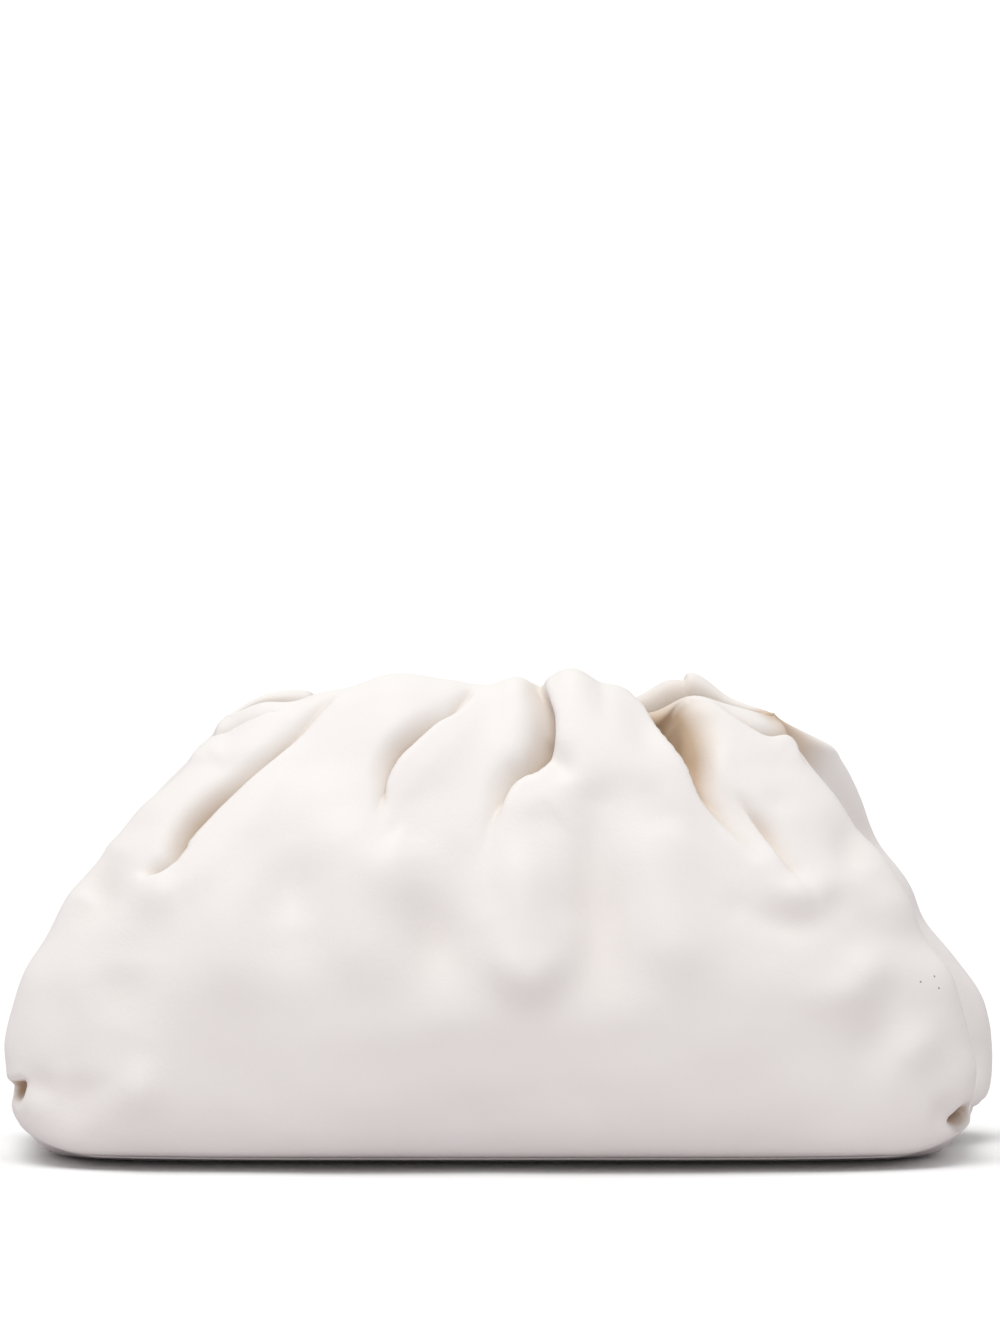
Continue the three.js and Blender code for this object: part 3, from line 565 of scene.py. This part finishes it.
def three(values, t):
    """A value that goes softly from its start over its middle to its end as t goes from 0 to 1."""
    start, middle, end = values
    first = mix(start, middle, smoothstep(0, 0.5, t))
    second = mix(middle, end, smoothstep(0.5, 1, t))
    return np.where(t < 0.5, first, second)


def lay_fold(fold, grid, ats, facing):
    """A fold's path as points on the panel."""
    seen = as_seen(grid, facing)
    body = np.searchsorted(ats, CREST)
    flat = seen[:body].reshape(-1, 2)
    places = grid[:body].reshape(-1, 3)
    points = [places[np.argmin(((flat - np.array(p)) ** 2).sum(-1))] for p in fold["path"]]
    if fold["crest"]:
        lip = grid[np.searchsorted(ats, mix(CREST, LIP_STRAIGHT, 0.5))]
        top = grid[body]
        x = points[0][0]
        points = [lip[np.argmin(np.abs(lip[:, 0] - x))], top[np.argmin(np.abs(top[:, 0] - x))]] + points
    return smooth_path(points, PATH_SAMPLES)


def fold_shift(fold, path, points, normals):
    """How a fold moves points, as vectors, and how much painted shade each point gets for lying deep in
    it.
    """
    a, b = path[:-1], path[1:]
    along = b - a
    away = points[:, None, :] - a[None]
    t = np.clip((away * along).sum(-1) / (along * along).sum(-1), 0, 1)
    off = away - t[..., None] * along
    distance = np.sqrt((off * off).sum(-1))
    nearest = distance.argmin(1)
    rows = np.arange(len(points))
    d, off, along = distance[rows, nearest], off[rows, nearest], along[nearest]
    share = (nearest + t[rows, nearest]) / len(a)
    deep, reach = three(fold["deep"], share), three(fold["reach"], share)
    if fold["kind"] != "lap":
        sign = 1 if fold["kind"] == "ridge" else -1
        amount = sign * deep * np.exp(-((d / reach) ** 2))
        return normals * amount[:, None], SOFT_SHADE * -amount
    left_of_path = (np.cross(along, off) * normals).sum(-1) > 0
    side = np.where(left_of_path == (fold["over"] == "right"), -d, d)
    lower = smoothstep(-LAP_EDGE, LAP_EDGE, side)
    climb = 1 - np.clip(side / reach, 0, 1)
    hollow = -deep * lower * climb ** fold.get("steep", 3)
    shade = fold.get("shade", 1)
    past_swell = side / (SWELL_MIDDLE * reach) + 1
    swell = fold["swell"] * deep * (1 - lower) * np.exp(-(past_swell**2))
    across = unit(np.cross(along, normals)) * (-1 if fold["over"] == "left" else 1)
    fade = smoothstep(0.12, 0.7, deep / max(fold["deep"]))
    if fold["crest"]:
        fade = fade * smoothstep(0.04, 0.3, share)
    lean = side / LAP_EDGE
    slip = fold["slip"] * fade * -lean * np.exp(0.5 * (1 - lean**2))
    return normals * (hollow + swell)[:, None] + across * slip[:, None], -hollow * shade


def pocket_shift(pocket, points, seen):
    """How a pocket moves points: steep at its tip and its upper side, with a brow over it, soft below."""
    tip, end = np.array(pocket["tip"], float), np.array(pocket["end"], float)
    length = np.linalg.norm(end - tip)
    axis = (end - tip) / length
    along = (seen - tip) @ axis
    rise = seen[:, 1] - (tip[1] + (end[1] - tip[1]) * np.clip(along / length, 0, 1))
    half = mix(pocket["half"][0], pocket["half"][1], smoothstep(0, 0.6 * length, along))
    up = rise / half
    soft = mix(POCKET_SOFT, POCKET_CRISP, smoothstep(-1, 0.6, up))
    within = (1 - smoothstep(1 - soft, 1 + soft, np.abs(up))) * smoothstep(-POCKET_TIP, POCKET_TIP, along)
    within *= smoothstep(POCKET_NEAR, POCKET_FAR, points[:, 1])
    inside = within * smoothstep(length + 2.5, length - 2, along)
    brow = np.exp(-(((rise - half - BROW_ABOVE) / BROW_WIDTH) ** 2))
    brow *= smoothstep(-3, 2, along) * smoothstep(length + 3, length, along)
    pushed_in = inside[:, None] * np.array(pocket["push"], float)
    drawn_down = brow[:, None] * np.array([0, 0.5, pocket["brow"]])
    return pushed_in - drawn_down, inside


def ripples(points):
    """The slight unevenness of soft leather, in millimetres along the normal."""
    draw = np.random.RandomState(RIPPLE_SEED)
    total = np.zeros(len(points))
    for length, high in RIPPLES:
        for _ in range(RIPPLE_WAVES):
            direction = unit(draw.normal(size=3))
            start = draw.uniform(0, 2 * math.pi)
            total += high * np.sin(points @ direction * (2 * math.pi / length) + start)
    return total


def relaxed(grid, keep):
    """The grid with its inner points drawn towards the middle of their neighbours."""
    for _ in range(RELAX_ROUNDS):
        middle = (grid[2:, 1:-1] + grid[:-2, 1:-1] + grid[1:-1, 2:] + grid[1:-1, :-2]) / 4
        grid[1:-1, 1:-1] = mix(grid[1:-1, 1:-1], middle, 0.5 * keep[1:-1, 1:-1])
    return grid


def panel_rows():
    """The places of a panel's rows, from the bottom seam over the crest to the hem."""
    body = np.linspace(0, 1, BODY_ROWS)
    return np.concatenate([
        mix(body, 1 - (1 - body) ** 1.5, ROWS_CLOSER),
        np.linspace(CREST, LIP_STRAIGHT, ROLL_ROWS + 1)[1:],
        np.linspace(LIP_STRAIGHT, HEM_FOLD, LIP_ROWS + 1)[1:],
        np.linspace(HEM_FOLD, HEM_EDGE, HEM_ROWS + 1)[1:],
    ])


def add_pockets(points, seen, move, painted_shade):
    """Adds the corner pockets to how the front panel's points move and to their painted shade."""
    for pocket in POCKETS:
        side = np.sign(pocket["tip"][0])
        near = (points[:, 1] < POCKET_NEAR) & (points[:, 2] < POCKETS_BELOW)
        near &= points[:, 0] * side > POCKETS_BEYOND
        shift, inside = pocket_shift(pocket, points[near], seen[near])
        move[near] += shift
        painted_shade[near] += POCKET_SHADE * inside


def hidden_shade(grid, ats):
    """How much painted shade the right end's tuck and the inside of the lips get in the leather's colour.
    """
    up = smoothstep(*TUCK_SHADE_ROWS, ats)[:, None]
    near_middle = smoothstep(*TUCK_SHADE_WIDTHS, np.abs(grid[..., 1]))
    past_mouth = smoothstep(*TUCK_SHADE_LENGTHS, grid[..., 0] - MOUTH_END)
    lips = smoothstep(CREST, LIP_STRAIGHT, ats)[:, None]
    return TUCK_SHADE * up * near_middle * past_mouth + LIP_SHADE * lips


def panel_grid(panel, folds):
    """A panel's outer face as a grid of points, with the painted shade each gets deep in a fold, a corner
    pocket, the right end's tuck or the lips.
    """
    facing = -1 if panel == "front" else 1
    ats = panel_rows()
    shares = np.linspace(-1, 1, PANEL_COLUMNS + 1)
    grid = np.array([outline(panel, float(at), shares) for at in ats])
    normals = grid_normals(grid, facing)
    points, directions = grid.reshape(-1, 3), normals.reshape(-1, 3)
    rippled = np.repeat(smoothstep(CREST, RIPPLES_FADE_FROM, ats), len(shares))
    move = directions * (ripples(points) * rippled)[:, None]
    painted_shade = np.zeros(len(points))
    for fold in folds:
        path = lay_fold(fold, grid, ats, facing)
        margin = FOLD_LIMIT * max(fold["reach"])
        near = np.all((points > path.min(0) - margin) & (points < path.max(0) + margin), axis=-1)
        # hollow here is the painted shade that the fold gives each point deep in it.
        shift, hollow = fold_shift(fold, path, points[near], directions[near])
        move[near] += shift
        painted_shade[near] += hollow
    if panel == "front":
        add_pockets(points, as_seen(grid, facing).reshape(-1, 2), move, painted_shade)
    to_seam = smoothstep(0, SEAM_FADE, np.abs(grid[..., 1]))
    rows = smoothstep(0, FOLDS_FULL_AT, ats) * smoothstep(LIP_STRAIGHT, CREST, ats)
    keep = (to_seam * rows[:, None]).reshape(-1, 1)
    turned_in = SEAM_ROLL * (1 - smoothstep(0, SEAM_ROLL_ENDS_AT, ats))
    roll = np.repeat(turned_in, len(shares))[:, None] * directions
    shaded = (painted_shade[:, None] * keep).reshape(grid.shape[:2]) + hidden_shade(grid, ats)
    moved = (points + move * keep - roll).reshape(grid.shape)
    return relaxed(moved, keep.reshape(*grid.shape[:2], 1)), shaded


def mesh_object(name, points, faces, attributes=None):
    """A smooth mesh in the scene, from points in millimetres."""
    mesh = bpy.data.meshes.new(name)
    mesh.from_pydata((points * MM).tolist(), [], faces)
    mesh.polygons.foreach_set("use_smooth", [True] * len(mesh.polygons))
    for key, values in (attributes or {}).items():
        layer = mesh.attributes.new(key, "FLOAT", "POINT")
        layer.data.foreach_set("value", np.asarray(values, np.float32))
    mesh.update()
    obj = bpy.data.objects.new(name, mesh)
    bpy.context.scene.collection.objects.link(obj)
    return obj


def grid_faces(rows, columns, flip):
    index = np.arange(rows * columns).reshape(rows, columns)
    a, b = index[:-1, :-1].ravel(), index[:-1, 1:].ravel()
    c, d = index[1:, 1:].ravel(), index[1:, :-1].ravel()
    order = (a, d, c, b) if flip else (a, b, c, d)
    return np.stack(order, axis=-1).tolist()


def solidify(obj):
    """Gives a sheet its wall, on the inner side of its outer face."""
    modifier = obj.modifiers.new("wall", "SOLIDIFY")
    modifier.thickness = WALL * MM
    modifier.offset = -1


def places_seen_at(grid, spots):
    """The points on the near side of the front panel that are seen at each spot."""
    places = grid[grid[..., 1] < -NEAR_SIDE]
    seen = as_seen(places, -1)
    return [places[np.argmin(((seen - np.array(spot)) ** 2).sum(-1))] for spot in spots]


def make_panel(panel, folds, spots=()):
    grid, painted_shade = panel_grid(panel, folds)
    material = leather(f"nappa_{panel}", PANEL_PALE, places_seen_at(grid, spots))
    rows, columns = grid.shape[:2]
    # Each point keeps its painted shade, as a share of the darkest, for the leather's colour.
    obj = mesh_object(
        f"{panel}_leather",
        grid.reshape(-1, 3),
        grid_faces(rows, columns, flip=panel == "back"),
        {"painted_shade": np.clip(painted_shade.ravel() / DEEP_CREASE, 0, 1)},
    )
    solidify(obj)
    obj.data.materials.append(material)
    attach(obj, "root")
    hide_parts(f"{panel}_panel")
    return obj


def make_base(material):
    shares = np.linspace(-1, 1, PANEL_COLUMNS + 1)
    front = outline("front", 0.0, shares)[:-1]
    back = outline("back", 0.0, shares)[::-1][:-1]
    edge = np.vstack([front, back])
    rise = EDGE_LIFT + seam_rise(edge[:, 0])
    count = len(edge)
    half_length, half_depth = np.abs(edge[:, :2]).max(axis=0)
    flat = edge[:, :2] * (1 - BASE_INSET / half_length, 1 - BASE_INSET / half_depth)
    rings = [
        np.hstack([flat * (1 - end / half_length, 1 - side / half_depth), (rise * up)[:, None]])
        for side, end, up in BASE_RIM
    ]
    rings += [rings[-1] * (out, out, 0) for out in BASE_RINGS]
    points = np.vstack(rings + [np.zeros((1, 3))])
    faces = []
    last = len(rings) - 1
    for i in range(count):
        after = (i + 1) % count
        for k in range(0, last * count, count):
            faces.append((k + i, k + count + i, k + count + after, k + after))
        faces.append((last * count + i, (last + 1) * count, last * count + after))
    obj = mesh_object("base_leather", points, faces)
    solidify(obj)
    obj.data.materials.append(material)
    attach(obj, "root")
    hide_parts("base_panel")
    return obj


def node(tree, kind, place, **settings):
    """A new shader node, with settings of its own or values of its sockets."""
    new = tree.nodes.new(kind)
    new.location = place
    for key, value in settings.items():
        if hasattr(new, key):
            setattr(new, key, value)
        else:
            new.inputs[key.replace("_", " ")].default_value = value
    return new


def speck_mask(tree, place, spots):
    """1 within each speck on the surface, 0 elsewhere."""
    mask = None
    for i, spot in enumerate(spots):
        away = node(tree, "ShaderNodeVectorMath", (-700, 800 + 200 * i), operation="DISTANCE")
        away.inputs[1].default_value = spot * MM
        tree.links.new(place, away.inputs[0])
        inside = node(tree, "ShaderNodeMapRange", (-450, 800 + 200 * i))
        inside.inputs["From Min"].default_value = SPECK_RADIUS * MM
        inside.inputs["From Max"].default_value = 0.4 * SPECK_RADIUS * MM
        tree.links.new(away.outputs["Value"], inside.inputs["Value"])
        if mask is None:
            mask = inside.outputs["Result"]
            continue
        most = node(tree, "ShaderNodeMath", (-250, 800 + 200 * i), operation="MAXIMUM")
        tree.links.new(mask, most.inputs[0])
        tree.links.new(inside.outputs["Result"], most.inputs[1])
        mask = most.outputs[0]
    return mask


def leather(name, pale, spots=()):
    """Fine-grained leather with painted shade, darker and warmer in the depth of its folds, and specks at
    the given spots.
    """
    material = bpy.data.materials.new(name)
    material.use_nodes = True
    tree = material.node_tree
    tree.nodes.clear()
    link = tree.links.new
    out = node(tree, "ShaderNodeOutputMaterial", (900, 0))
    skin = node(tree, "ShaderNodeBsdfPrincipled", (600, 0))
    link(skin.outputs["BSDF"], out.inputs["Surface"])
    place = node(tree, "ShaderNodeTexCoord", (-1000, 0)).outputs["Object"]

    cloud = node(tree, "ShaderNodeTexNoise", (-700, 300), Scale=14.0, Detail=3.0)
    link(place, cloud.inputs["Vector"])
    # Painted shade: the panels' shade attribute mixes the pale leather towards the darker, warmer colour.
    painted_shade = node(tree, "ShaderNodeAttribute", (-700, 550), attribute_name="painted_shade")
    spread = node(tree, "ShaderNodeMapRange", (-450, 300))
    spread.inputs["From Min"].default_value = 0.35
    spread.inputs["From Max"].default_value = 0.65
    spread.inputs["To Max"].default_value = 0.03
    link(cloud.outputs["Fac"], spread.inputs["Value"])
    add = node(tree, "ShaderNodeMath", (-250, 400), operation="ADD", use_clamp=True)
    link(spread.outputs["Result"], add.inputs[0])
    link(painted_shade.outputs["Fac"], add.inputs[1])
    tint = node(tree, "ShaderNodeMix", (0, 300), data_type="RGBA")
    tint.inputs["A"].default_value = (*pale, 1)
    tint.inputs["B"].default_value = (*PAINTED_SHADE_WARM, 1)
    link(add.outputs[0], tint.inputs["Factor"])
    colour = tint.outputs["Result"]
    if spots:
        marked = node(tree, "ShaderNodeMix", (250, 500), data_type="RGBA")
        link(speck_mask(tree, place, spots), marked.inputs["Factor"])
        link(colour, marked.inputs["A"])
        marked.inputs["B"].default_value = (*SPECK_GREY, 1)
        colour = marked.outputs["Result"]
    link(colour, skin.inputs["Base Color"])

    rough = node(tree, "ShaderNodeMapRange", (0, 50))
    rough.inputs["To Min"].default_value = 0.46
    rough.inputs["To Max"].default_value = 0.6
    patches = node(tree, "ShaderNodeTexNoise", (-700, 50), Scale=60.0, Detail=4.0)
    link(place, patches.inputs["Vector"])
    link(patches.outputs["Fac"], rough.inputs["Value"])
    link(rough.outputs["Result"], skin.inputs["Roughness"])

    pores = node(tree, "ShaderNodeTexVoronoi", (-700, -250), feature="SMOOTH_F1", Scale=1100.0)
    link(place, pores.inputs["Vector"])
    wrinkles = node(tree, "ShaderNodeTexNoise", (-700, -500), Scale=240.0, Detail=5.0, Distortion=0.6)
    link(place, wrinkles.inputs["Vector"])
    grain = node(tree, "ShaderNodeBump", (100, -250), Strength=0.12, Distance=0.0003)
    link(pores.outputs["Distance"], grain.inputs["Height"])
    lines = node(tree, "ShaderNodeBump", (350, -350), Strength=0.25, Distance=0.0004)
    link(wrinkles.outputs["Fac"], lines.inputs["Height"])
    link(grain.outputs["Normal"], lines.inputs["Normal"])
    link(lines.outputs["Normal"], skin.inputs["Normal"])
    skin.inputs["Specular IOR Level"].default_value = 0.35
    return material


def steel():
    """Brushed steel, with its lines along the frame."""
    material = bpy.data.materials.new("frame_steel")
    material.use_nodes = True
    tree = material.node_tree
    skin = tree.nodes["Principled BSDF"]
    skin.inputs["Base Color"].default_value = (*STEEL, 1)
    skin.inputs["Metallic"].default_value = 1
    place = node(tree, "ShaderNodeTexCoord", (-900, 0)).outputs["Object"]
    stretch = node(tree, "ShaderNodeMapping", (-700, 0))
    stretch.inputs["Scale"].default_value = (40, 40, 900)
    tree.links.new(place, stretch.inputs["Vector"])
    brush = node(tree, "ShaderNodeTexNoise", (-500, 0), Scale=3.0, Detail=4.0)
    tree.links.new(stretch.outputs["Vector"], brush.inputs["Vector"])
    rough = node(tree, "ShaderNodeMapRange", (-250, 0))
    rough.inputs["To Min"].default_value = 0.3
    rough.inputs["To Max"].default_value = 0.5
    tree.links.new(brush.outputs["Fac"], rough.inputs["Value"])
    tree.links.new(rough.outputs["Result"], skin.inputs["Roughness"])
    bump = node(tree, "ShaderNodeBump", (-250, -300), Strength=0.1, Distance=0.0001)
    tree.links.new(brush.outputs["Fac"], bump.inputs["Height"])
    tree.links.new(bump.outputs["Normal"], skin.inputs["Normal"])
    return material


def make_camera():
    data = bpy.data.cameras.new("camera")
    camera = bpy.data.objects.new("camera", data)
    bpy.context.scene.collection.objects.link(camera)
    bpy.context.scene.camera = camera
    data.sensor_width = SENSOR
    data.lens = SENSOR * CAMERA_DISTANCE / (PHOTO_HEIGHT * PHOTO_MM)
    eye, _, _, forward = camera_axes()
    camera.location = eye * MM
    camera.rotation_mode = "QUATERNION"
    camera.rotation_quaternion = Vector(forward).to_track_quat("-Z", "Y")
    data.clip_start, data.clip_end = 0.05, 50


def soft_sun(name, direction, angle, power):
    """A wide soft light from one direction, the same over the whole floor."""
    data = bpy.data.lights.new(name, "SUN")
    data.angle = math.radians(angle)
    data.energy = power
    light = bpy.data.objects.new(name, data)
    light.rotation_mode = "QUATERNION"
    light.rotation_quaternion = Vector(direction).to_track_quat("Z", "Y")
    bpy.context.scene.collection.objects.link(light)


def make_floor():
    """A white floor, seen whiter than the light that it throws back."""
    corners = [(-1, -1), (1, -1), (1, 1), (-1, 1)]
    points = np.array([(x * FLOOR_HALF, y * FLOOR_HALF, -FLOOR_DROP) for x, y in corners], float)
    floor = mesh_object("floor", points, [(0, 1, 2, 3)])
    material = bpy.data.materials.new("floor_white")
    material.use_nodes = True
    tree = material.node_tree
    tree.nodes.clear()
    out = node(tree, "ShaderNodeOutputMaterial", (400, 0))
    paint = node(tree, "ShaderNodeBsdfDiffuse", (200, 0))
    tree.links.new(paint.outputs["BSDF"], out.inputs["Surface"])
    rays = node(tree, "ShaderNodeLightPath", (-300, 0))
    tint = node(tree, "ShaderNodeMix", (0, 0), data_type="RGBA")
    tint.inputs["A"].default_value = (*FLOOR_BOUNCE, 1)
    tint.inputs["B"].default_value = (*FLOOR_SEEN, 1)
    tree.links.new(rays.outputs["Is Camera Ray"], tint.inputs["Factor"])
    tree.links.new(tint.outputs["Result"], paint.inputs["Color"])
    floor.data.materials.append(material)


def make_sky():
    """A soft box of light above, darker towards the horizon, seen as plain white."""
    world = bpy.data.worlds.new("studio")
    bpy.context.scene.world = world
    world.use_nodes = True
    tree = world.node_tree
    tree.nodes.clear()
    out = node(tree, "ShaderNodeOutputWorld", (800, 0))
    sky = node(tree, "ShaderNodeBackground", (600, 0))
    tree.links.new(sky.outputs["Background"], out.inputs["Surface"])
    height = node(tree, "ShaderNodeVectorMath", (-300, -200), operation="DOT_PRODUCT")
    height.inputs[1].default_value = BRIGHTEST_SKY
    direction = node(tree, "ShaderNodeTexCoord", (-500, -200)).outputs["Generated"]
    tree.links.new(direction, height.inputs[0])
    ceiling = node(tree, "ShaderNodeMapRange", (-100, -200), interpolation_type="SMOOTHSTEP")
    ceiling.inputs["From Min"].default_value = -0.1
    ceiling.inputs["From Max"].default_value = 0.75
    tree.links.new(height.outputs["Value"], ceiling.inputs["Value"])
    softbox = node(tree, "ShaderNodeMix", (100, -200), data_type="RGBA")
    softbox.inputs["A"].default_value = (*SKY_LOW, 1)
    softbox.inputs["B"].default_value = (*SKY_HIGH, 1)
    tree.links.new(ceiling.outputs["Result"], softbox.inputs["Factor"])
    rays = node(tree, "ShaderNodeLightPath", (100, 200))
    glow = node(tree, "ShaderNodeMix", (400, 0), data_type="RGBA")
    tree.links.new(softbox.outputs["Result"], glow.inputs["A"])
    glow.inputs["B"].default_value = (*SKY_SEEN, 1)
    tree.links.new(rays.outputs["Is Camera Ray"], glow.inputs["Factor"])
    tree.links.new(glow.outputs["Result"], sky.inputs["Color"])


make_camera()
make_floor()
make_sky()
soft_sun("overhead", *OVERHEAD)
soft_sun("front_fill", *FRONT_FILL)
make_panel("front", FRONT_FOLDS, SPECKS)
make_panel("back", BACK_FOLDS)
make_base(leather("nappa_base", BASE_PALE))
mouth_frame = bpy.data.objects["mouth_frame"]
mouth_frame.data.materials.clear()
mouth_frame.data.materials.append(steel())

view_settings = bpy.context.scene.view_settings
view_settings.view_transform = "Standard"
view_settings.look = "None"
